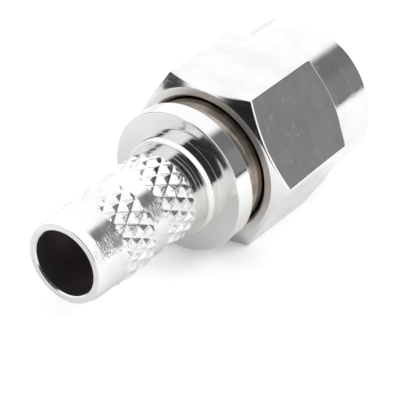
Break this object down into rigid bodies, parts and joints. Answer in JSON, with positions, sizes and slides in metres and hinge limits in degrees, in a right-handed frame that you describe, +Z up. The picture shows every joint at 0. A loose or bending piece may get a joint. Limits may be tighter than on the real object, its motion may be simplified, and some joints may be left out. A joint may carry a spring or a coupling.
{
  "type": "sma connector",
  "caption": "Straight coaxial crimp plug with a knurled crimp stem, a round flange and a spinning hexagonal coupling nut around a gold centre pin.",
  "frame": {"origin": "on the axis, at the mating reference plane: the front rim of the outer contact sleeve", "axes": "+X along the axis towards the mating side, +Z up, square to the hexagon flat that the plug lies opposite to, Y across the hexagon's corners"},
  "size_m": [0.0184, 0.0092, 0.008],
  "materials": {
    "body_plating": "bright nickel plate",
    "nut_plating": "bright nickel plate",
    "spring_bronze": "satin",
    "gasket_rubber": "matte",
    "insulator_plastic": "waxy",
    "contact_gold": "gold plate"
  },
  "bodies": {
    "plug_body": {"body": "body_plating", "gasket": "gasket_rubber", "insulator": "insulator_plastic", "centre_contact": "contact_gold"},
    "snap_ring": {"snap_ring": "spring_bronze"},
    "coupling_nut": {"coupling_nut": "nut_plating"}
  },
  "joints": [
    {"name": "nut_float", "type": "slide", "parent": "plug_body", "child": "snap_ring", "axis": [1, 0, 0], "range_m": [-0.00015, 0.00015]},
    {"name": "nut_spin", "type": "hinge", "parent": "snap_ring", "child": "coupling_nut", "pos_m": [0, 0, 0], "axis": [1, 0, 0], "continuous": true}
  ]
}
